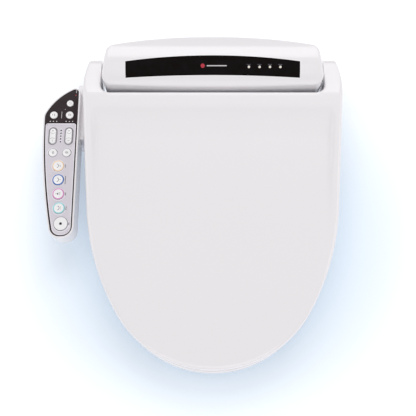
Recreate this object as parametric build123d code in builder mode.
"""Electric bidet seat with a side control arm, for a round-front toilet bowl.

Millimetres. X runs to the user's right as they face the bowl from the front, Y runs to the
rear and Z up. The origin lies on the bowl's rim, halfway between its two fixing holes.
"""

import math
import os

from build123d import *

os.makedirs("parts", exist_ok=True)

# ---------------------------------------------------------------- clearances
slide_gap = 0.35  # between a moving piece and the wall that guides it
run_gap = 0.06  # radial clearance of a turning shaft
wall = 2.5  # wall of the housing and the arm

# ---------------------------------------------------------------- height that sets the others
seat_top_z = 44.0  # where the user sits; the lid and the hinge follow it

# ---------------------------------------------------------------- fixing to the bowl
bolt_spacing = 140.0
bolt_hole_r = 4.5
plate_length = 194.0
plate_width = 56.0
plate_thickness = 5.0
plate_flange = 3.0
rim_gap = 6.0  # height of the housing's floor above the rim

# ---------------------------------------------------------------- housing
housing_front_half = 170.0
housing_rear_half = 160.0
housing_front_y = -45.0
housing_front_arch = 3.0
housing_rear_y = 34.0
housing_rear_arch = 18.4
housing_corner_r = 14.0
housing_seam_z = 45.0
housing_front_z = 111.0
housing_crest_y = -10.0
housing_crest_z = 131.5
housing_rear_z = 122.0
housing_edge_r = 5.0

# ---------------------------------------------------------------- display window
window_half = 131.0
window_front_y = -34.9
window_rear_y = -12.0
window_front_arch = 3.3
window_rear_arch = 9.0
window_thickness = 1.4
led_x = (54.0, 70.0, 85.5, 101.0)
led_y = -20.5
led_r = 1.1

# ---------------------------------------------------------------- hinge
hinge_z = seat_top_z + 44.0
hinge_shaft_r = 5.0
hinge_pin_r = 4.0
hinge_flat = 3.6  # distance of the D flat from the shaft's centre
hinge_boss_r = 9.5
housing_boss_x = housing_front_half + 1.0
lug_in_x = housing_boss_x + 2.0
lug_thickness = 8.0
lug_r = 8.6
ear_gap_x = 2.6  # between a seat lug and the lid's boss
damper_r = 11.0
damper_length = 46.0

# ---------------------------------------------------------------- lid
front_radius = 162.0
lid_tip_y = -458.3
side_line_x = housing_front_half + 16.9
side_line_y = -225.0
side_tilt = 3.83  # degrees between a side line and the Y axis
lid_widest_y = -50.5
ear_thickness = 6.4  # of an ear's boss, at its rear end
ear_half_width = lug_in_x + lug_thickness + ear_gap_x + ear_thickness
ear_r = 12.0  # round rear end of each ear, about the hinge axis
ear_skin_start = 40.0  # degrees above horizontal where the ear's thin skin starts
lid_wall = 3.0
lid_skirt_z = seat_top_z + 2.0
lid_edge_r = 7.0
lid_tip_z = lid_skirt_z + 11.0
lid_middle_y = -300.0
lid_middle_z = lid_skirt_z + 31.0
lid_knee_y = -140.0
lid_knee_z = lid_skirt_z + 50.0
lid_foot_y = -115.0
lid_foot_z = lid_skirt_z + 46.5
lid_band_width = 12.0  # raised bands along the sides of the dished middle
lid_ridge_y = -73.0
lid_shelf_z = lid_skirt_z + 60.0  # height at the front edge of the notch
notch_half = housing_front_half + 1.6
notch_y = -50.5
notch_corner_r = 15.0
notch_lip = 9.0
bumper_boss_r = 5.5

# ---------------------------------------------------------------- seat
seat_inset = 2.5  # inside the lid's outline at the sides
seat_peek = 2.6  # beyond the lid at the front
seat_rear_y = -54.0
seat_corner_r = 12.0
seat_seam_z = 24.0
seat_bottom_z = 12.0
seat_wall = 3.0
seat_edge_r = 7.0
opening_half = 107.0
opening_rear_y = -102.0
opening_front_y = -378.0
tunnel_half = 96.0  # half-width of the seat's raised rear bridge
tunnel_z = seat_top_z - 10.0

# ---------------------------------------------------------------- wash unit
nozzle_x = 9.0
nozzle_r = 5.0
nozzle_length = 126.0
nozzle_slope = 12.0
nozzle_tip_y = -95.0
nozzle_tip_z = 15.0
snout_half = 24.0
snout_front_y = -90.0

# ---------------------------------------------------------------- dryer
dryer_x = 62.0
dryer_y = -6.0
drum_r = 29.0
drum_z = 42.0
drum_height = 30.0
impeller_r = 24.0
outlet_half = 18.0
outlet_bottom_z = 10.0
outlet_top_z = 29.0
outlet_front_y = -62.0

# ---------------------------------------------------------------- water
tank_x = -80.0
tank_y = -9.0
tank_length = 76.0
tank_depth = 44.0
tank_bottom_z = 22.0
tank_height = 44.0
inlet_y = 3.0
inlet_z = 25.0
inlet_r = 10.4
inlet_length = 14.0

# ---------------------------------------------------------------- release button
release_y = -27.0
release_z = 25.0
release_r = 6.5

# ---------------------------------------------------------------- arm
arm_top_z = 70.0
arm_bottom_z = 33.0
arm_seam_z = 52.0
arm_border = 2.4
bridge_x = -(side_line_x + 14.6)  # the arm's side that faces the lid
arm_tip = (bridge_x - 9.5, -24.0)
arm_foot_right = (bridge_x - 6.8, -266.0)
arm_foot_left = (bridge_x - 37.0, -268.0)
arm_left_mid = (bridge_x - 53.8, -170.0)
arm_shoulder = (bridge_x - 60.1, -72.0)
arm_shoulder_mid = (bridge_x - 41.5, -44.5)
arm_tip_r = 6.0
arm_foot_r = 15.0
arm_shoulder_r = 16.0
face_thickness = 1.4
panel_thickness = 0.7
panel_inset = 3.0
panel_top_y = -87.0
bridge_width = 12.5
bridge_rear_y = -14.0
bridge_front_y = -108.0
bridge_top_z = 58.0
root_front_y = -50.0
root_top_z = seat_top_z - 18.0  # stays under the seat's lug
root_end_x = housing_front_half - 20.0  # inside the housing, where the root is trimmed
board_z = 58.0
board_thickness = 1.6

# ---------------------------------------------------------------- keys
key_proud = 1.4  # above the arm's face
key_flange = 1.0
key_flange_thickness = 1.5
rocker_width = 9.6
rocker_length = 26.0
rocker_pivot_z = 64.6
rocker_pivot_r = 1.2
round_keys = {
    "key_power": (bridge_x - 22.0, -52.0, 10.3),
    "key_seat_heat": (bridge_x - 46.2, -72.0, 11.8),
    "key_water_heat": (bridge_x - 21.5, -72.0, 11.8),
    "key_pulse": (bridge_x - 43.4, -134.9, 12.6),
    "key_massage": (bridge_x - 22.1, -134.9, 12.6),
    "key_rear_wash": (bridge_x - 33.6, -156.7, 17.0),
    "key_front_wash": (bridge_x - 32.1, -179.1, 17.0),
    "key_child_wash": (bridge_x - 30.4, -201.5, 17.0),
    "key_dryer": (bridge_x - 28.1, -223.8, 17.0),
    "key_stop": (bridge_x - 23.8, -248.0, 20.0),
}
rocker_keys = {
    "rocker_pressure": (bridge_x - 45.5, -107.2),
    "rocker_position": (bridge_x - 20.6, -107.2),
}
arm_led_r = 0.8
arm_led_pitch = 5.0
arm_screws_from_bridge = [(34.5, -86.5), (13.5, -168.0), (45.0, -190.0), (13.0, -213.0)]
arm_screw_places = [(bridge_x - x, y) for x, y in arm_screws_from_bridge]

# ---------------------------------------------------------------- fasteners
screw_r = 1.6
screw_head_r = 3.2
post_r = 3.8
cover_screw_places = [(-146.0, -30.0), (146.0, -30.0), (-110.0, 18.6), (110.0, 18.6)]
seat_screw_places = [(side * 150.0, y) for side in (-1, 1) for y in (-110.0, -260.0)]
seat_screw_places += [(-45.0, -418.0), (45.0, -418.0)]


def save(piece, name):
    """Labels a finished piece and writes it to its own file."""
    piece.part.label = name
    export_step(piece.part, f"parts/{name}.step")


def flip(point, side):
    """The point on the right-hand (side 1) or left-hand (side -1) half."""
    return (side * point[0], point[1])


# ---------------------------------------------------------------- outlines
tilt = math.radians(side_tilt)
front_centre_y = lid_tip_y + front_radius
line_start = Vector(side_line_x, side_line_y)
line_normal = Vector(-math.cos(tilt), math.sin(tilt))
front_centre = Vector(0, front_centre_y)
reach = line_start - front_centre
side_radius = (front_radius**2 - reach.length**2) / (2 * (reach.dot(line_normal) + front_radius))
side_centre = line_start + line_normal * side_radius
side_end_dir = (front_centre - side_centre).normalized()
side_reach = side_line_x + 60.0  # beyond the lid's widest point


def side_points(inset):
    """End of the front arc, middle of the side arc and start of the side line, `inset` inside."""
    front_end = front_centre + side_end_dir * (front_radius - inset)
    start_dir = line_normal * -1
    middle_dir = (side_end_dir + start_dir).normalized()
    side_middle = side_centre + middle_dir * (side_radius - inset)
    start = line_start + line_normal * inset
    return [(p.X, p.Y) for p in (front_end, side_middle, start)]


def side_line_x_at(y, inset):
    """Half-width of the straight side at a given Y."""
    start = line_start + line_normal * inset
    return start.X + (y - start.Y) * math.tan(tilt)


def lid_half_width(y):
    """Half-width of the lid on its side arc or side line."""
    if y > line_start.Y:
        return side_line_x_at(y, 0)
    return side_centre.X + math.sqrt(side_radius**2 - (y - side_centre.Y) ** 2)


def lid_plan(inset):
    """The lid from above: front arc, side arcs, straight sides and ears."""
    front_end, side_middle, start = side_points(inset)
    widest = (side_line_x_at(lid_widest_y, inset), lid_widest_y)
    ear_middle = (widest[0] - 1.2, lid_widest_y * 0.42)
    ear_end = (ear_half_width - inset, ear_r - inset)
    with BuildSketch() as plan:
        with BuildLine():
            ThreePointArc(flip(front_end, -1), (0, lid_tip_y + inset), front_end)
            for side in (1, -1):
                ThreePointArc(flip(front_end, side), flip(side_middle, side), flip(start, side))
                Line(flip(start, side), flip(widest, side))
                ThreePointArc(flip(widest, side), flip(ear_middle, side), flip(ear_end, side))
            Line(ear_end, flip(ear_end, -1))
        make_face()
        fillet(plan.vertices().group_by(Axis.Y)[-1], radius=max(9.0 - inset, 1.0))
    return plan.sketch


def seat_plan(inset):
    """The seat's outer edge from above, without its opening."""
    side_inset = seat_inset + inset
    front_end, side_middle, start = side_points(side_inset)
    corner = (side_line_x_at(seat_rear_y - inset, side_inset), seat_rear_y - inset)
    tip = (0, lid_tip_y - seat_peek + inset)
    with BuildSketch() as plan:
        with BuildLine():
            ThreePointArc(flip(front_end, -1), tip, front_end)
            for side in (1, -1):
                ThreePointArc(flip(front_end, side), flip(side_middle, side), flip(start, side))
                Line(flip(start, side), flip(corner, side))
            Line(corner, flip(corner, -1))
        make_face()
        fillet(plan.vertices().group_by(Axis.Y)[-1], radius=seat_corner_r - inset)
    return plan.sketch


def opening_plan(margin):
    """The seat's opening: a round-ended oval, wider at the rear."""
    front_r = opening_half * 0.86 + margin
    rear_r = opening_half + margin
    front_y = opening_front_y - margin + front_r
    rear_y = opening_rear_y + margin - rear_r
    with BuildSketch() as plan:
        with Locations((0, front_y)):
            Circle(front_r)
        with Locations((0, rear_y)):
            Circle(rear_r)
        make_hull()
    return plan.sketch


def housing_plan(inset):
    """The housing from above: arched front and rear edges."""
    corner_y = housing_front_y + housing_front_arch
    rear_corner_y = housing_rear_y - housing_rear_arch
    rear_left = (-housing_rear_half, rear_corner_y)
    rear_right = (housing_rear_half, rear_corner_y)
    front_right = (housing_front_half, corner_y)
    front_left = (-housing_front_half, corner_y)
    with BuildSketch() as plan:
        with BuildLine():
            ThreePointArc(rear_left, (0, housing_rear_y), rear_right)
            Line(rear_right, front_right)
            ThreePointArc(front_right, (0, housing_front_y), front_left)
            Line(front_left, rear_left)
        make_face()
        fillet(plan.vertices(), radius=housing_corner_r)
        if inset:
            offset(amount=-inset, mode=Mode.REPLACE)
    return plan.sketch


def housing_side_x(y):
    """Half-width of the housing at a given Y."""
    corner_y = housing_front_y + housing_front_arch
    rear_corner_y = housing_rear_y - housing_rear_arch
    share = (y - corner_y) / (rear_corner_y - corner_y)
    return housing_front_half + (housing_rear_half - housing_front_half) * share


def housing_crown(drop, bottom_z):
    """Side view of everything under the housing's arched top, as a solid across the width."""
    with BuildPart() as crown:
        with BuildSketch(Plane.YZ.offset(-200)):
            with BuildLine():
                front_top = (housing_front_y - 5, housing_front_z - 3 - drop)
                rear_top = (housing_rear_y + 5, housing_rear_z - drop)
                ThreePointArc(front_top, (housing_crest_y, housing_crest_z - drop), rear_top)
                Line(rear_top, (rear_top[0], bottom_z))
                Line((rear_top[0], bottom_z), (front_top[0], bottom_z))
                Line((front_top[0], bottom_z), front_top)
            make_face()
        extrude(amount=400)
    return crown.part


def window_plan(inset):
    """The display window from above, arched like the housing."""
    rear_left = (-window_half + inset, window_rear_y - inset)
    rear_right = (window_half - inset, window_rear_y - inset)
    front_right = (window_half - inset, window_front_y + inset)
    front_left = (-window_half + inset, window_front_y + inset)
    with BuildSketch() as plan:
        with BuildLine():
            ThreePointArc(rear_left, (0, window_rear_y + window_rear_arch - inset), rear_right)
            Line(rear_right, front_right)
            ThreePointArc(front_right, (0, window_front_y + window_front_arch + inset), front_left)
            Line(front_left, rear_left)
        make_face()
    return plan.sketch


def arm_plan(grow):
    """The arm's face from above, grown or shrunk."""
    with BuildSketch() as plan:
        with BuildLine():
            Line(arm_tip, arm_foot_right)
            Line(arm_foot_right, arm_foot_left)
            ThreePointArc(arm_foot_left, arm_left_mid, arm_shoulder)
            ThreePointArc(arm_shoulder, arm_shoulder_mid, arm_tip)
        make_face()
        corners = plan.vertices().sort_by(Axis.Y)
        fillet(corners[0:2], radius=arm_foot_r)
        corners = plan.vertices().sort_by(Axis.Y)
        fillet(corners[-1], radius=arm_tip_r)
        shoulder = plan.vertices().sort_by_distance(arm_shoulder)[0]
        fillet(shoulder, radius=arm_shoulder_r)
        if grow:
            offset(amount=grow, mode=Mode.REPLACE)
    return plan.sketch


def across(radius, x_from, x_to, y, z):
    """A cylinder along X."""
    with BuildPart() as rod:
        with BuildSketch(Plane.YZ.offset(x_from)):
            with Locations((y, z)):
                Circle(radius)
        extrude(amount=x_to - x_from)
    return rod.part


def upright(radius, x, y, z_from, z_to):
    """A cylinder along Z."""
    with BuildPart() as rod:
        with BuildSketch(Plane.XY.offset(z_from)):
            with Locations((x, y)):
                Circle(radius)
        extrude(amount=z_to - z_from)
    return rod.part


def block(x_from, x_to, y_from, y_to, z_from, z_to):
    """A box given by its six faces."""
    with BuildPart() as brick:
        with BuildSketch(Plane.XY.offset(z_from)):
            with Locations(((x_from + x_to) / 2, (y_from + y_to) / 2)):
                Rectangle(x_to - x_from, y_to - y_from)
        extrude(amount=z_to - z_from)
    return brick.part


def screws(places, z_head, length):
    """A group of equal screws with their heads down."""
    with BuildPart() as group:
        for x, y in places:
            add(upright(screw_head_r, x, y, z_head, z_head + 2.2))
            add(upright(screw_r, x, y, z_head + 2.2, z_head + length))
    return group


# ================================================================ mounting plate
with BuildPart() as mounting_plate:
    with BuildSketch():
        RectangleRounded(plate_length - 2 * plate_flange, plate_width, 1.5)
    extrude(amount=plate_thickness)
    with BuildSketch(Plane.XY.offset(plate_thickness / 2)):
        RectangleRounded(plate_length, plate_width, 1.5)
    extrude(amount=plate_thickness / 2)
    with BuildSketch():
        with GridLocations(bolt_spacing, 1, 2, 1):
            Circle(bolt_hole_r)
    extrude(amount=plate_thickness, mode=Mode.SUBTRACT)
save(mounting_plate, "mounting_plate")

# ================================================================ base tray
hook_in = plate_length / 2 + slide_gap
tray_floor_z = rim_gap + wall
tower_x = housing_side_x(0) - wall - 9.0
foot_places = [(-132.0, -26.0), (132.0, -26.0), (-128.0, 8.0), (128.0, 8.0)]

with BuildPart() as base_tray:
    with BuildSketch(Plane.XY.offset(rim_gap)):
        add(housing_plan(0))
    extrude(amount=housing_seam_z - rim_gap)
    fillet(base_tray.edges().group_by(Axis.Z)[0], radius=3.0)
    with BuildSketch(Plane.XY.offset(tray_floor_z)):
        add(housing_plan(wall))
    extrude(amount=housing_seam_z, mode=Mode.SUBTRACT)
    # pockets over the heads of the fixing bolts
    for x in (-bolt_spacing / 2, bolt_spacing / 2):
        add(block(x - 17, x + 17, -20, 20, rim_gap, rim_gap + 13))
        add(block(x - 14.5, x + 14.5, -17.5, 17.5, rim_gap, rim_gap + 10.5), mode=Mode.SUBTRACT)
    # hooks that grip the mounting plate's side flanges
    for side in (-1, 1):
        lip = sorted((side * hook_in, side * (hook_in + 5)))
        toe = sorted((side * (hook_in - plate_flange + 0.6), side * (hook_in + 5)))
        add(block(lip[0], lip[1], -22, 22, 0.4, rim_gap + 1))
        add(block(toe[0], toe[1], -22, 22, 0.4, plate_thickness / 2 - slide_gap))
    # towers that carry the two hinge dampers
    for side in (-1, 1):
        tower = sorted((side * tower_x, side * (tower_x - 6)))
        add(block(tower[0], tower[1], -14, 14, tray_floor_z, hinge_z + 13))
        add(across(damper_r + 0.1, tower[0], tower[1], 0, hinge_z), mode=Mode.SUBTRACT)
    # openings at the front for the wash unit and the dryer
    add(block(-snout_half, snout_half, housing_front_y - 2, -30, tray_floor_z, 36), mode=Mode.SUBTRACT)
    add(
        block(
            dryer_x - outlet_half,
            dryer_x + outlet_half,
            housing_front_y - 2,
            -30,
            outlet_bottom_z,
            outlet_top_z,
        ),
        mode=Mode.SUBTRACT,
    )
    # holes in the side walls
    add(
        across(inlet_r - 2.4, housing_rear_half - 20, housing_front_half + 5, inlet_y, inlet_z),
        mode=Mode.SUBTRACT,
    )
    add(
        across(
            release_r + slide_gap,
            housing_rear_half - 5,
            housing_front_half + 5,
            release_y,
            release_z,
        ),
        mode=Mode.SUBTRACT,
    )
    # screw holes through the floor
    for x, y in cover_screw_places:
        add(upright(screw_r + 0.2, x, y, rim_gap, tray_floor_z), mode=Mode.SUBTRACT)
        add(upright(screw_head_r + 0.2, x, y, rim_gap - 1, rim_gap + 1), mode=Mode.SUBTRACT)

# ================================================================ cord gland, at the rear
gland_x = -90.0
gland_z = 26.0
gland_r = 7.0
gland_bore_r = 3.6
gland_length = 9.5
gland_out_y = housing_rear_y - housing_rear_arch * (gland_x / housing_rear_half) ** 2 + 2.0
with BuildPart() as cord_gland:
    with BuildSketch(Plane.XZ.offset(-gland_out_y)):
        with Locations((gland_x, gland_z)):
            Circle(gland_r)
            Circle(gland_bore_r, mode=Mode.SUBTRACT)
    extrude(amount=gland_length)
save(cord_gland, "cord_gland")

with BuildPart() as gland_hole:
    with BuildSketch(Plane.XZ.offset(-gland_out_y)):
        with Locations((gland_x, gland_z)):
            Circle(gland_r)
    extrude(amount=2 * gland_length)

with base_tray:
    add(gland_hole.part, mode=Mode.SUBTRACT)
save(base_tray, "base_tray")

with BuildPart() as base_feet:
    for x, y in foot_places:
        add(upright(8.0, x, y, 0, rim_gap))
save(base_feet, "base_feet")

save(screws(cover_screw_places, rim_gap - 1.2, 16.0), "cover_screws")

# ================================================================ top cover
with BuildPart() as window_slab:
    with BuildSketch(Plane.XY.offset(housing_seam_z)):
        add(window_plan(0))
    extrude(amount=120)
    add(housing_crown(0, 0), mode=Mode.INTERSECT)
    add(housing_crown(window_thickness, 0), mode=Mode.SUBTRACT)



def housing_body(inset, drop):
    """Everything above the seam, `inset` inside the walls and `drop` under the crown."""
    with BuildPart() as body:
        with BuildSketch(Plane.XY.offset(housing_seam_z)):
            add(housing_plan(inset))
        extrude(amount=120)
        add(housing_crown(drop, 0), mode=Mode.INTERSECT)
    return body.part


def cover_post(x, y):
    """A bored post from the tray's floor up into the cover's roof."""
    with BuildPart() as post:
        add(upright(post_r, x, y, tray_floor_z, 140))
        add(housing_crown(1.5, 0), mode=Mode.INTERSECT)
        add(upright(screw_r, x, y, tray_floor_z, tray_floor_z + 14), mode=Mode.SUBTRACT)
    return post.part


with BuildPart() as top_cover:
    add(housing_body(0, 0))
    fillet(top_cover.faces().sort_by(Axis.Z)[-1].edges(), radius=housing_edge_r)
    add(housing_body(wall, wall + 1.0), mode=Mode.SUBTRACT)
    # hinge bosses on the side walls
    for side in (-1, 1):
        boss = sorted((side * housing_boss_x, side * (housing_side_x(0) - wall)))
        add(across(hinge_boss_r, boss[0], boss[1], 0, hinge_z))
    bore_end = housing_boss_x + 1
    add(across(hinge_shaft_r + slide_gap, -bore_end, bore_end, 0, hinge_z), mode=Mode.SUBTRACT)
    # posts for the screws that come up through the tray
    for x, y in cover_screw_places:
        add(cover_post(x, y))
    # seat for the display window, with an opening under it
    add(window_slab.part, mode=Mode.SUBTRACT)
    with BuildSketch(Plane.XY.offset(100)):
        add(window_plan(4))
    extrude(amount=60, mode=Mode.SUBTRACT)
save(top_cover, "top_cover")

display_board_z = 108.0
with BuildPart() as display_leds:
    for x in led_x:
        add(upright(led_r, x, led_y, display_board_z + board_thickness, 140))
    add(housing_crown(0, 0), mode=Mode.INTERSECT)
save(display_leds, "display_leds")

with BuildPart() as display_window:
    add(window_slab.part)
    for x in led_x:
        add(upright(led_r, x, led_y, 100, 140), mode=Mode.SUBTRACT)
save(display_window, "display_window")

with BuildPart() as display_board:
    add(block(-122, 122, -31, -12, display_board_z, display_board_z + board_thickness))
    add(block(-30, 20, -28, -16, display_board_z - 4, display_board_z))
save(display_board, "display_board")

# ================================================================ dampers and hinge shafts
damper_out_x = housing_side_x(damper_r) - wall - 2.5
damper_in_x = damper_out_x - damper_length
with BuildPart() as lid_damper:
    add(across(damper_r, damper_in_x, damper_out_x, 0, hinge_z))
    add(across(hinge_shaft_r + run_gap, damper_in_x + 20, damper_out_x, 0, hinge_z), mode=Mode.SUBTRACT)
save(lid_damper, "lid_damper")

with BuildPart() as seat_damper:
    add(mirror(lid_damper.part, about=Plane.YZ, mode=Mode.PRIVATE))
save(seat_damper, "seat_damper")

lug_out_x = lug_in_x + lug_thickness
ear_boss_x = lug_out_x + ear_gap_x
ear_boss_end_x = ear_half_width + 1.0
flat_cut = hinge_shaft_r - hinge_flat

with BuildPart() as seat_hinge_shaft:
    add(across(hinge_shaft_r, -lug_out_x, -damper_in_x - 22, 0, hinge_z))
    add(across(hinge_pin_r, -ear_boss_end_x + 2, -lug_out_x, 0, hinge_z))
    add(block(-lug_out_x, -lug_in_x + 0.5, -8, 8, hinge_z + hinge_flat, hinge_z + 8), mode=Mode.SUBTRACT)
save(seat_hinge_shaft, "seat_hinge_shaft")

with BuildPart() as lid_hinge_shaft:
    add(across(hinge_shaft_r, damper_in_x + 22, ear_boss_end_x - 2, 0, hinge_z))
    add(block(ear_boss_x - 0.5, 200, -8, 8, hinge_z + hinge_flat, hinge_z + 8), mode=Mode.SUBTRACT)
save(lid_hinge_shaft, "lid_hinge_shaft")


# ================================================================ lid
knee_to_shelf = (lid_shelf_z - lid_knee_z) / (notch_y - lid_knee_y)
lid_ridge_z = lid_knee_z + knee_to_shelf * (lid_ridge_y - lid_knee_y)
lid_slope_y = (lid_foot_y + lid_ridge_y) / 2
lid_slope_z = (lid_foot_z + lid_ridge_z) / 2 - 1.8


def lid_side_view(inset, skirt_z, dished):
    """Side view of the lid, through its dished middle or through its side bands."""
    top_r = ear_r - inset
    tip = (lid_tip_y - 10, lid_tip_z - inset)
    shelf = (notch_y, lid_shelf_z - inset)
    ridge = (lid_ridge_y, lid_ridge_z - inset)
    with BuildSketch() as view:
        with BuildLine():
            if dished:
                foot = (lid_foot_y, lid_foot_z - inset)
                ThreePointArc(tip, (lid_middle_y, lid_middle_z - inset), foot)
                ThreePointArc(foot, (lid_slope_y, lid_slope_z - inset), ridge)
                Line(ridge, shelf)
            else:
                knee = (lid_knee_y, lid_knee_z - inset)
                ThreePointArc(tip, (lid_middle_y, lid_middle_z - inset), knee)
                Line(knee, shelf)
            Line(shelf, (0, hinge_z + top_r))
            CenterArc((0, hinge_z), top_r, 0, 90)
            Line((top_r, hinge_z), (top_r, skirt_z))
            Line((top_r, skirt_z), (tip[0], skirt_z))
            Line((tip[0], skirt_z), tip)
        make_face()
    return view.sketch


def lid_body(inset, skirt_z):
    """Everything under the lid's top surface, `inset` inside its skin."""
    with BuildPart() as body:
        with BuildSketch(Plane.XY.offset(skirt_z - 5)):
            add(lid_plan(inset))
        extrude(amount=100)
        with BuildSketch(Plane.YZ.offset(-side_reach)):
            add(lid_side_view(inset, skirt_z, False))
        extrude(amount=2 * side_reach, mode=Mode.INTERSECT)
    return body.part


def lid_dish(grow):
    """The space above the lid's dished middle, `grow` larger all round."""
    with BuildPart() as dish:
        with BuildSketch(Plane.XY.offset(lid_tip_z - 10)):
            add(lid_plan(lid_band_width - grow))
            with Locations((0, 50 + lid_ridge_y)):
                Rectangle(500, 100, mode=Mode.SUBTRACT)
        extrude(amount=80)
        with BuildSketch(Plane.YZ.offset(-side_reach)):
            add(lid_side_view(grow, 0, True))
        extrude(amount=2 * side_reach, mode=Mode.SUBTRACT)
    return dish.part


def notch_plan(grow):
    """The space in the lid's rear edge that goes round the housing."""
    half = notch_half + grow
    front = notch_y - grow
    with BuildSketch() as plan:
        with Locations((0, (front + 60) / 2)):
            Rectangle(2 * half, 60 - front)
        fillet(plan.vertices().group_by(Axis.Y)[0], radius=notch_corner_r + grow)
    return plan.sketch


lid_outer = lid_body(0, lid_skirt_z)

# under the ears the skirt rises from its foot to a tangent of the round ear end
skirt_foot = (-62.0, lid_skirt_z)
to_axis = Vector(-skirt_foot[0], hinge_z - skirt_foot[1])
tangent_angle = math.atan2(to_axis.Y, to_axis.X) - math.asin(ear_r / to_axis.length)
tangent_length = math.sqrt(to_axis.length**2 - ear_r**2)
tangent_point = (
    skirt_foot[0] + tangent_length * math.cos(tangent_angle),
    skirt_foot[1] + tangent_length * math.sin(tangent_angle),
)
skin_angle = math.radians(ear_skin_start)
lid_bumper_places = [(side, y) for side in (-1, 1) for y in (-150.0, -300.0)]



def lid_lip():
    """The short wall that hangs from the front edge of the notch."""
    with BuildPart() as lip:
        with BuildSketch(Plane.XY.offset(lid_shelf_z - notch_lip)):
            add(notch_plan(lid_wall))
            add(notch_plan(0), mode=Mode.SUBTRACT)
            with Locations((0, notch_y + notch_corner_r + 30)):
                Rectangle(500, 60, mode=Mode.SUBTRACT)
        extrude(amount=notch_lip + 2)
        add(lid_body(0.3, lid_skirt_z), mode=Mode.INTERSECT)
    return lip.part


def space_under_ears():
    """What the rising foot of the skirt leaves free below the ears."""
    behind = tangent_point[0] + 20
    with BuildPart() as space:
        with BuildSketch(Plane.YZ.offset(-side_reach)):
            with BuildLine():
                Polyline(
                    skirt_foot,
                    tangent_point,
                    (behind, tangent_point[1] - 4),
                    (behind, lid_skirt_z - 20),
                    (skirt_foot[0], lid_skirt_z - 20),
                    close=True,
                )
            make_face()
        extrude(amount=2 * side_reach)
        add(across(ear_r, -side_reach, side_reach, 0, hinge_z), mode=Mode.SUBTRACT)
    return space.part


def is_lid_rim(edge):
    """True for the edges where the lid's top meets its sides, ahead of the ears."""
    place = edge.center()
    at_side = abs(place.X) > 60 or place.Y < lid_tip_y + 5
    return at_side and place.Y < lid_widest_y - 5 and place.Z > lid_skirt_z + 8


with BuildPart() as lid_room:
    add(lid_body(lid_wall, lid_skirt_z - 10))
    add(lid_dish(lid_wall), mode=Mode.SUBTRACT)

with BuildPart() as lid_shell:
    add(lid_outer)
    upward = lid_shell.faces().filter_by(lambda face: face.normal_at().Z > 0.3)
    fillet(upward.edges().filter_by(is_lid_rim), radius=lid_edge_r)
    add(lid_dish(0), mode=Mode.SUBTRACT)
    add(lid_room.part, mode=Mode.SUBTRACT)
    with BuildSketch(Plane.XY.offset(lid_skirt_z - 10)):
        add(notch_plan(0))
    extrude(amount=120, mode=Mode.SUBTRACT)
    add(lid_lip())
    # bosses in the ears, bored for the hinge shafts
    for side in (-1, 1):
        boss = sorted((side * ear_boss_x, side * ear_boss_end_x))
        add(across(ear_r - 1.0, boss[0], boss[1], 0, hinge_z))
    add(space_under_ears(), mode=Mode.SUBTRACT)
    # the thin skin over a seat lug stops short, so the lug stays clear when the lid is open
    skin_z = hinge_z + ear_r * math.sin(skin_angle)
    add(block(-ear_boss_x + 0.2, ear_boss_x - 0.2, 0, 30, 40, skin_z), mode=Mode.SUBTRACT)
    add(across(hinge_pin_r + run_gap, -ear_boss_end_x + 1, -ear_boss_x, 0, hinge_z), mode=Mode.SUBTRACT)
    add(lid_hinge_shaft.part, mode=Mode.SUBTRACT)
    for side, y in lid_bumper_places:
        x = side * (lid_half_width(y) - lid_wall - bumper_boss_r + 0.7)
        add(upright(bumper_boss_r, x, y, lid_skirt_z + 1, lid_skirt_z + 14))
        add(upright(2.0, x, y, lid_skirt_z + 1, lid_skirt_z + 8), mode=Mode.SUBTRACT)
save(lid_shell, "lid_shell")

with BuildPart() as lid_bumpers:
    for side, y in lid_bumper_places:
        x = side * (lid_half_width(y) - lid_wall - bumper_boss_r + 0.7)
        add(upright(bumper_boss_r - 1.4, x, y, seat_top_z + 0.2, lid_skirt_z + 1))
        add(upright(2.0, x, y, lid_skirt_z + 1, lid_skirt_z + 8))
save(lid_bumpers, "lid_bumpers")

# ================================================================ seat
with BuildPart() as seat_top:
    with BuildSketch(Plane.XY.offset(seat_seam_z)):
        add(seat_plan(0))
        add(opening_plan(0), mode=Mode.SUBTRACT)
    extrude(amount=seat_top_z - seat_seam_z)
    fillet(seat_top.edges().group_by(Axis.Z)[-1], radius=seat_edge_r)
    with BuildSketch(Plane.XY.offset(seat_seam_z)):
        add(seat_plan(seat_wall))
        add(opening_plan(seat_wall), mode=Mode.SUBTRACT)
    extrude(amount=seat_top_z - seat_seam_z - seat_wall, mode=Mode.SUBTRACT)
    # raised rear bridge over the wash unit
    tunnel = (-tunnel_half, tunnel_half, opening_rear_y - 30, seat_rear_y + 5)
    add(block(*tunnel, seat_seam_z - 1, tunnel_z), mode=Mode.SUBTRACT)
    for x, y in seat_screw_places:
        add(upright(post_r, x, y, seat_seam_z, seat_top_z - 1))
        add(upright(screw_r, x, y, seat_seam_z, seat_top_z - 5), mode=Mode.SUBTRACT)
    # lugs that rise to the hinge axis
    for side in (-1, 1):
        near = sorted((side * lug_in_x, side * lug_out_x))
        with BuildSketch(Plane.YZ.offset(near[0])):
            with Locations((0, hinge_z)):
                Circle(lug_r)
            with Locations((seat_rear_y + 7.5, seat_top_z - 7)):
                Circle(6.5)
            make_hull()
            with Locations((seat_rear_y + 2, seat_top_z - 7)):
                Rectangle(9, 13)
        extrude(amount=lug_thickness)
    add(across(hinge_shaft_r + run_gap, lug_in_x, lug_out_x, 0, hinge_z), mode=Mode.SUBTRACT)
    add(seat_hinge_shaft.part, mode=Mode.SUBTRACT)
save(seat_top, "seat_top")



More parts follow.
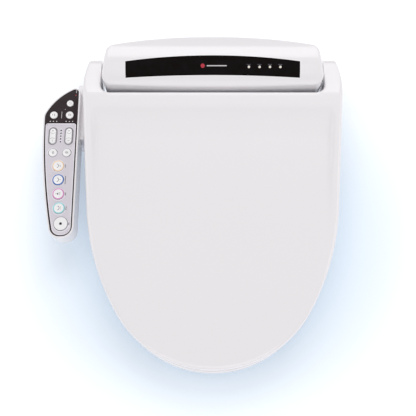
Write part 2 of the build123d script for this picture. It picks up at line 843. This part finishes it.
def bridge_roof():
    """Walls and roof of the seat's raised rear bridge, inside the upper shell."""
    with BuildPart() as roof:
        with BuildSketch(Plane.XY.offset(seat_bottom_z)):
            add(seat_plan(seat_wall))
            add(opening_plan(seat_wall), mode=Mode.SUBTRACT)
        extrude(amount=tunnel_z + 2 - seat_bottom_z)
        side = tunnel_half + 2
        add(
            block(-side, side, tunnel[2] - 2, tunnel[3], seat_bottom_z + 1, tunnel_z + 2),
            mode=Mode.INTERSECT,
        )
        add(block(*tunnel[:2], tunnel[2] - 3, tunnel[3], 0, tunnel_z), mode=Mode.SUBTRACT)
    return roof.part


with BuildPart() as seat_bottom:
    with BuildSketch(Plane.XY.offset(seat_bottom_z)):
        add(seat_plan(0))
        add(opening_plan(0), mode=Mode.SUBTRACT)
    extrude(amount=seat_seam_z - seat_bottom_z)
    fillet(seat_bottom.edges().group_by(Axis.Z)[0], radius=4.0)
    with BuildSketch(Plane.XY.offset(seat_bottom_z + seat_wall)):
        add(seat_plan(seat_wall))
        add(opening_plan(seat_wall), mode=Mode.SUBTRACT)
    extrude(amount=seat_seam_z, mode=Mode.SUBTRACT)
    add(block(*tunnel, 0, seat_seam_z + 1), mode=Mode.SUBTRACT)
    # walls and roof of the raised rear bridge
    add(bridge_roof())
    for x, y in seat_screw_places:
        add(upright(post_r, x, y, seat_bottom_z + 1, seat_seam_z))
        add(upright(screw_r + 0.2, x, y, seat_bottom_z, seat_seam_z), mode=Mode.SUBTRACT)
        add(upright(screw_head_r + 0.2, x, y, seat_bottom_z, seat_bottom_z + 3), mode=Mode.SUBTRACT)
save(seat_bottom, "seat_bottom")

heater_z = seat_top_z - seat_wall - 0.8
with BuildPart() as seat_heater:
    with BuildSketch(Plane.XY.offset(heater_z)):
        add(seat_plan(seat_wall + 8))
        add(opening_plan(seat_wall + 8), mode=Mode.SUBTRACT)
    extrude(amount=0.8)
    for x, y in seat_screw_places:
        add(upright(post_r + 0.5, x, y, heater_z - 1, heater_z + 1), mode=Mode.SUBTRACT)
save(seat_heater, "seat_heater")

seat_bumper_places = [(-150.0, -150.0), (150.0, -150.0), (-78.0, -405.0), (78.0, -405.0)]
with BuildPart() as seat_bumpers:
    for x, y in seat_bumper_places:
        add(upright(9.0, x, y, 0, seat_bottom_z))
save(seat_bumpers, "seat_bumpers")

save(screws(seat_screw_places, seat_bottom_z + 0.8, seat_top_z - seat_bottom_z - 12.0), "seat_screws")

# ================================================================ wash unit
slope = math.radians(nozzle_slope)
nozzle_dir = Vector(0, math.cos(slope), math.sin(slope))  # from tip to rear


def nozzle_rod(x, radius, start, length):
    """A cylinder on one nozzle's axis, `start` behind the tip."""
    tip = Vector(x, nozzle_tip_y, nozzle_tip_z)
    with BuildPart() as rod:
        with BuildSketch(Plane(origin=tip + nozzle_dir * start, z_dir=nozzle_dir)):
            Circle(radius)
        extrude(amount=length)
    return rod.part


def nozzle_height(y):
    """Height of the nozzle axis at a given Y."""
    return nozzle_tip_z + (y - nozzle_tip_y) * math.tan(slope)


for nozzle_name, x in (("wash_nozzle", -nozzle_x), ("feminine_nozzle", nozzle_x)):
    with BuildPart() as nozzle:
        add(nozzle_rod(x, nozzle_r, 0, nozzle_length))
        fillet(nozzle.edges().sort_by(Axis.Y)[0], radius=2.4)
        # three spray holes in the top of the head
        with Locations((x, nozzle_tip_y + 8, nozzle_tip_z + 3)):
            with GridLocations(1, 3, 1, 3):
                Cylinder(radius=0.6, height=6, mode=Mode.SUBTRACT)
    save(nozzle, nozzle_name)

guide_rear_y = 12.0
with BuildPart() as nozzle_guide:
    with BuildSketch(Plane.YZ.offset(-snout_half + 2)):
        with BuildLine():
            Polyline(
                (snout_front_y, tray_floor_z),
                (snout_front_y, nozzle_height(snout_front_y) + nozzle_r + 1.8),
                (guide_rear_y, nozzle_height(guide_rear_y) + nozzle_r + 1.8),
                (guide_rear_y, tray_floor_z),
                close=True,
            )
        make_face()
    extrude(amount=2 * snout_half - 4)
    for x in (-nozzle_x, nozzle_x):
        add(nozzle_rod(x, nozzle_r + slide_gap, -10, nozzle_length + 20), mode=Mode.SUBTRACT)
save(nozzle_guide, "nozzle_guide")

with BuildPart() as nozzle_motors:
    for x in (-nozzle_x - 2.5, nozzle_x + 2.5):
        motor_z = nozzle_height(guide_rear_y) + nozzle_r + 1.8
        add(upright(10.5, x, -8, motor_z, motor_z + 17))
save(nozzle_motors, "nozzle_motors")

# ================================================================ water tank
tank = (
    tank_x - tank_length / 2,
    tank_x + tank_length / 2,
    tank_y - tank_depth / 2,
    tank_y + tank_depth / 2,
)
tank_top_z = tank_bottom_z + tank_height
with BuildPart() as water_tank:
    add(block(*tank, tank_bottom_z, tank_top_z))
    fillet(water_tank.edges().filter_by(Axis.Z), radius=7.0)
    offset(amount=-wall, openings=water_tank.faces().sort_by(Axis.Z)[-1])
    for x in (tank[0] + 6, tank[1] - 5):
        add(block(x - 4, x + 4, -12, 2, tray_floor_z, tank_bottom_z))
save(water_tank, "water_tank")

with BuildPart() as tank_lid:
    add(block(*tank, tank_top_z, tank_top_z + 3))
    fillet(tank_lid.edges().filter_by(Axis.Z), radius=7.0)
    add(upright(8.0, tank_x, tank_y, tank_top_z + 3, tank_top_z + 9))
    add(upright(4.0, tank_x, tank_y, tank_top_z, tank_top_z + 9), mode=Mode.SUBTRACT)
save(tank_lid, "tank_lid")

with BuildPart() as tank_heater:
    add(upright(4.0, tank_x, tank_y, tank_bottom_z + 8, tank_top_z + 12))
    add(upright(7.0, tank_x, tank_y, tank_top_z + 9, tank_top_z + 12))
save(tank_heater, "tank_heater")

# ================================================================ inlet
collar_x = housing_side_x(inlet_y - inlet_r - 3) + 0.3
with BuildPart() as inlet_fitting:
    add(across(inlet_r, collar_x + 3, collar_x + 3 + inlet_length, inlet_y, inlet_z))
    add(across(inlet_r + 3, collar_x, collar_x + 3, inlet_y, inlet_z))
    add(across(inlet_r - 2.4, 138, collar_x, inlet_y, inlet_z))
    add(across(5.5, 138, 200, inlet_y, inlet_z), mode=Mode.SUBTRACT)
save(inlet_fitting, "inlet_fitting")

with BuildPart() as inlet_valve:
    add(block(106, 138, inlet_y - 14, inlet_y + 10, tray_floor_z, inlet_z + 14))
    add(upright(10.0, 122, inlet_y - 1, inlet_z + 14, inlet_z + 38))
save(inlet_valve, "inlet_valve")

# ================================================================ dryer
with BuildPart() as blower_housing:
    add(upright(drum_r, dryer_x, dryer_y, drum_z, drum_z + drum_height))
    add(upright(drum_r - 2, dryer_x, dryer_y, drum_z + 2, drum_z + drum_height - 2), mode=Mode.SUBTRACT)
    add(upright(13.0, dryer_x, dryer_y, drum_z + drum_height - 2, drum_z + drum_height), mode=Mode.SUBTRACT)
    add(
        block(dryer_x - 12, dryer_x + 12, dryer_y - 18.5, dryer_y - 4.5, drum_z, drum_z + 2),
        mode=Mode.SUBTRACT,
    )
save(blower_housing, "blower_housing")

impeller_z = drum_z + 5.0
with BuildPart() as blower_impeller:
    add(upright(impeller_r, dryer_x, dryer_y, impeller_z, impeller_z + 1.6))
    add(upright(4.0, dryer_x, dryer_y, impeller_z, impeller_z + 14))
    with Locations((dryer_x, dryer_y)):
        with PolarLocations(impeller_r - 3.5, 18):
            with Locations((0, 0, impeller_z + 9)):
                Box(6, 1.2, 15)
    add(upright(2.0, dryer_x, dryer_y, impeller_z, drum_z + drum_height + 12))
save(blower_impeller, "blower_impeller")

with BuildPart() as blower_motor:
    motor_z = drum_z + drum_height
    add(upright(16.0, dryer_x, dryer_y, motor_z, motor_z + 3))
    add(upright(12.0, dryer_x, dryer_y, motor_z, motor_z + 20))
    add(upright(2.0 + run_gap, dryer_x, dryer_y, motor_z, motor_z + 14), mode=Mode.SUBTRACT)
save(blower_motor, "blower_motor")

outlet = (dryer_x - outlet_half, dryer_x + outlet_half)
duct_wall = 2.0
duct_path = [
    (outlet_front_y, outlet_bottom_z),
    (outlet_front_y, outlet_top_z),
    (dryer_y - 30, outlet_top_z),
    (dryer_y - 22, drum_z),
    (dryer_y - 2, drum_z),
    (dryer_y - 2, outlet_top_z + 3),
    (dryer_y - 16, outlet_bottom_z + 11),
    (dryer_y - 16, outlet_bottom_z),
]
with BuildPart() as dryer_duct:
    with BuildSketch(Plane.YZ.offset(outlet[0])):
        with BuildLine():
            Polyline(*duct_path, close=True)
        make_face()
    extrude(amount=outlet[1] - outlet[0])
    with BuildSketch(Plane.YZ.offset(outlet[0] + duct_wall)):
        with BuildLine():
            Polyline(*duct_path, close=True)
        make_face()
        offset(amount=-duct_wall, mode=Mode.REPLACE)
        with Locations((outlet_front_y, (outlet_bottom_z + outlet_top_z) / 2)):
            Rectangle(8, outlet_top_z - outlet_bottom_z - 2 * duct_wall)
        with Locations((dryer_y - 11.5, drum_z)):
            Rectangle(14, 8)
    extrude(amount=outlet[1] - outlet[0] - 2 * duct_wall, mode=Mode.SUBTRACT)
    # two ears that hold the flap's pin
    for x in (outlet[0], outlet[1] - 2):
        add(block(x, x + 2, outlet_front_y - 5, outlet_front_y, outlet_top_z - 6, outlet_top_z))
    add(across(1.0 + run_gap, outlet[0], outlet[1], outlet_front_y - 2.5, outlet_top_z - 3), mode=Mode.SUBTRACT)
save(dryer_duct, "dryer_duct")

with BuildPart() as dryer_flap:
    flap_in = (outlet[0] + 2 + slide_gap, outlet[1] - 2 - slide_gap)
    add(across(1.0, outlet[0], outlet[1], outlet_front_y - 2.5, outlet_top_z - 3))
    add(across(2.0, flap_in[0], flap_in[1], outlet_front_y - 2.5, outlet_top_z - 3))
    add(block(*flap_in, outlet_front_y - 3.3, outlet_front_y - 1.7, outlet_bottom_z + 0.5, outlet_top_z - 3))
save(dryer_flap, "dryer_flap")

# ================================================================ main board
with BuildPart() as main_board:
    add(block(-132, -132 + board_thickness, -28, 14, tray_floor_z, 70))
    for y, z, size in ((-18.0, 24.0, 9.0), (2.0, 30.0, 12.0), (-12.0, 52.0, 10.0), (5.0, 56.0, 7.0)):
        add(block(-132 - size, -132, y - size / 2, y + size / 2, z - size / 2, z + size / 2))
save(main_board, "main_board")

# ================================================================ release button
release_wall_x = housing_side_x(release_y)
with BuildPart() as release_button:
    add(across(release_r, release_wall_x - 12, release_wall_x + 4.5, release_y, release_z))
    fillet(release_button.edges().sort_by(Axis.X)[-1], radius=1.2)
    add(across(release_r + 2, release_wall_x - 12, release_wall_x - wall - 3, release_y, release_z))
save(release_button, "release_button")

# ================================================================ arm casing
face_floor_z = arm_top_z - face_thickness
key_flange_top_z = face_floor_z - wall - slide_gap - 0.6
rocker_lug_in = rocker_width / 2 + slide_gap + 0.1  # from the middle of a rocker to its lugs
rocker_lug_out = rocker_lug_in + 2.0


def arm_openings(z_from, z_to, gap):
    """All the key openings through the arm's face, as one solid."""
    with BuildPart() as openings:
        for x, y, diameter in round_keys.values():
            add(upright(diameter / 2 + gap, x, y, z_from, z_to))
        for x, y in rocker_keys.values():
            with BuildSketch(Plane.XY.offset(z_from)):
                with Locations((x, y)):
                    SlotOverall(rocker_length + 2 * gap, rocker_width + 2 * gap, rotation=90)
            extrude(amount=z_to - z_from)
    return openings.part


heat_led_y = -82.5
power_led = (bridge_x - 14.1, -37.5)
level_led_pitch = 4.75
arm_led_places = []
for key_name in ("key_seat_heat", "key_water_heat"):
    key_x = round_keys[key_name][0]
    arm_led_places += [(key_x + step * arm_led_pitch, heat_led_y) for step in (-1, 0, 1)]
level_x = sum(x for x, y in rocker_keys.values()) / 2
level_y = rocker_keys["rocker_pressure"][1]
arm_led_places += [(level_x, level_y + step * level_led_pitch) for step in (-2, -1, 0, 1, 2)]
arm_led_places += [power_led]

with BuildPart() as arm_upper_case:
    with BuildSketch(Plane.XY.offset(arm_seam_z)):
        add(arm_plan(arm_border))
    extrude(amount=arm_top_z - arm_seam_z)
    fillet(arm_upper_case.edges().group_by(Axis.Z)[-1], radius=1.0)
    with BuildSketch(Plane.XY.offset(arm_seam_z)):
        add(arm_plan(arm_border - wall))
    extrude(amount=face_floor_z - wall - arm_seam_z, mode=Mode.SUBTRACT)
    with BuildSketch(Plane.XY.offset(face_floor_z)):
        add(arm_plan(0))
    extrude(amount=face_thickness, mode=Mode.SUBTRACT)
    add(arm_openings(arm_seam_z, arm_top_z, slide_gap), mode=Mode.SUBTRACT)
    for x, y in arm_screw_places:
        add(upright(3.2, x, y, 44, face_floor_z - wall))
        add(upright(screw_r, x, y, 44, face_floor_z - wall - 2), mode=Mode.SUBTRACT)
    for x, y in arm_led_places:
        add(upright(arm_led_r, x, y, face_floor_z - wall, face_floor_z), mode=Mode.SUBTRACT)
    # a pair of bearing lugs beside each rocker
    for x, y in rocker_keys.values():
        for lug_x in (x - rocker_lug_out, x + rocker_lug_in):
            lug = (lug_x, lug_x + rocker_lug_out - rocker_lug_in)
            add(block(*lug, y - 2.4, y + 2.4, rocker_pivot_z - 2.4, face_floor_z - wall))
        bearing = (x - rocker_lug_out - 1, x + rocker_lug_out + 1)
        add(across(rocker_pivot_r + run_gap, *bearing, y, rocker_pivot_z), mode=Mode.SUBTRACT)
save(arm_upper_case, "arm_upper_case")

with BuildPart() as arm_lower_case:
    with BuildSketch(Plane.XY.offset(arm_bottom_z)):
        add(arm_plan(arm_border))
    extrude(amount=arm_seam_z - arm_bottom_z)
    fillet(arm_lower_case.edges().group_by(Axis.Z)[0], radius=6.0)
    # bridge beside the lid and the low root that reaches the housing under the seat's lug
    with BuildSketch(Plane.XY.offset(rim_gap + 2)):
        with Locations((bridge_x - bridge_width / 2, (bridge_rear_y + bridge_front_y) / 2)):
            Rectangle(bridge_width, bridge_rear_y - bridge_front_y)
    extrude(amount=bridge_top_z - rim_gap - 2)
    # a web that slopes down from the bridge to the root
    with BuildSketch(Plane.XZ.offset(-bridge_rear_y)):
        with BuildLine():
            Polyline(
                (bridge_x - 4, rim_gap + 2),
                (bridge_x - 4, bridge_top_z - 2),
                (bridge_x, bridge_top_z - 2),
                (bridge_x + 4, lid_skirt_z - 4),
                (-lug_out_x - 2, root_top_z),
                (-root_end_x, root_top_z),
                (-root_end_x, rim_gap + 2),
                close=True,
            )
        make_face()
    extrude(amount=bridge_rear_y - root_front_y)
    with BuildSketch(Plane.XY.offset(0)):
        add(housing_plan(0))
    extrude(amount=150, mode=Mode.SUBTRACT)
    # the bridge stops where the arm's own upper case begins
    with BuildSketch(Plane.XY.offset(arm_seam_z)):
        add(arm_plan(arm_border))
    extrude(amount=30, mode=Mode.SUBTRACT)
    with BuildSketch(Plane.XY.offset(arm_bottom_z + wall)):
        add(arm_plan(arm_border - wall))
    extrude(amount=40, mode=Mode.SUBTRACT)
    for x, y in arm_screw_places:
        add(upright(3.2, x, y, arm_bottom_z + 1, 44))
        add(upright(screw_r + 0.2, x, y, arm_bottom_z, 44), mode=Mode.SUBTRACT)
        add(upright(screw_head_r - 0.6, x, y, arm_bottom_z - 1, arm_bottom_z + 3), mode=Mode.SUBTRACT)
save(arm_lower_case, "arm_lower_case")

with BuildPart() as arm_screws:
    for x, y in arm_screw_places:
        add(upright(screw_head_r - 0.8, x, y, arm_bottom_z + 1, arm_bottom_z + 3))
        add(upright(screw_r, x, y, arm_bottom_z + 3, arm_bottom_z + 19))
save(arm_screws, "arm_screws")

# ================================================================ arm face
with BuildPart() as arm_panel:
    with BuildSketch(Plane.XY.offset(arm_top_z - panel_thickness)):
        add(arm_plan(-panel_inset))
        with Locations((bridge_x - 30, panel_top_y + 60)):
            Rectangle(120, 120, mode=Mode.SUBTRACT)
    extrude(amount=panel_thickness)
    add(arm_openings(arm_seam_z, arm_top_z, slide_gap), mode=Mode.SUBTRACT)
    for x, y in arm_led_places:
        add(upright(arm_led_r, x, y, arm_seam_z, arm_top_z), mode=Mode.SUBTRACT)
save(arm_panel, "arm_panel")

with BuildPart() as arm_faceplate:
    with BuildSketch(Plane.XY.offset(face_floor_z)):
        add(arm_plan(-0.05))
    extrude(amount=face_thickness)
    with BuildSketch(Plane.XY.offset(arm_top_z - panel_thickness)):
        add(arm_plan(-panel_inset))
        with Locations((bridge_x - 30, panel_top_y + 60)):
            Rectangle(120, 120, mode=Mode.SUBTRACT)
    extrude(amount=panel_thickness, mode=Mode.SUBTRACT)
    add(arm_openings(arm_seam_z, arm_top_z, slide_gap), mode=Mode.SUBTRACT)
    for x, y in arm_led_places:
        add(upright(arm_led_r, x, y, arm_seam_z, arm_top_z), mode=Mode.SUBTRACT)
save(arm_faceplate, "arm_faceplate")

with BuildPart() as arm_leds:
    for x, y in arm_led_places:
        add(upright(arm_led_r, x, y, board_z + board_thickness, arm_top_z))
save(arm_leds, "arm_leds")

with BuildPart() as arm_board:
    with BuildSketch(Plane.XY.offset(board_z)):
        add(arm_plan(-3.0))
        with Locations(*arm_screw_places):
            Circle(3.6, mode=Mode.SUBTRACT)
    extrude(amount=board_thickness)
    # one switch under each key, two under a rocker
    switch_top_z = board_z + board_thickness + 2.0
    switch_places = [(x, y) for x, y, diameter in round_keys.values()]
    switch_places += [(x, y + end * 9) for x, y in rocker_keys.values() for end in (-1, 1)]
    for x, y in switch_places:
        add(block(x - 2.5, x + 2.5, y - 2.5, y + 2.5, board_z, switch_top_z))
save(arm_board, "arm_board")

# ================================================================ keys
key_top_z = arm_top_z + key_proud
for key_name, (x, y, diameter) in round_keys.items():
    with BuildPart() as key:
        add(upright(diameter / 2, x, y, key_flange_top_z - key_flange_thickness, key_top_z))
        fillet(key.edges().group_by(Axis.Z)[-1], radius=0.5)
        flange_r = diameter / 2 + key_flange
        add(upright(flange_r, x, y, key_flange_top_z - key_flange_thickness, key_flange_top_z))
    save(key, key_name)

for key_name, (x, y) in rocker_keys.items():
    with BuildPart() as key:
        with BuildSketch(Plane.XY.offset(key_flange_top_z - key_flange_thickness)):
            with Locations((x, y)):
                SlotOverall(rocker_length - 1, rocker_width - 0.4, rotation=90)
        extrude(amount=key_top_z - key_flange_top_z + key_flange_thickness)
        fillet(key.edges().group_by(Axis.Z)[-1], radius=0.5)
        stub = rocker_lug_out - 0.3
        add(across(rocker_pivot_r, x - stub, x + stub, y, rocker_pivot_z))
    save(key, key_name)
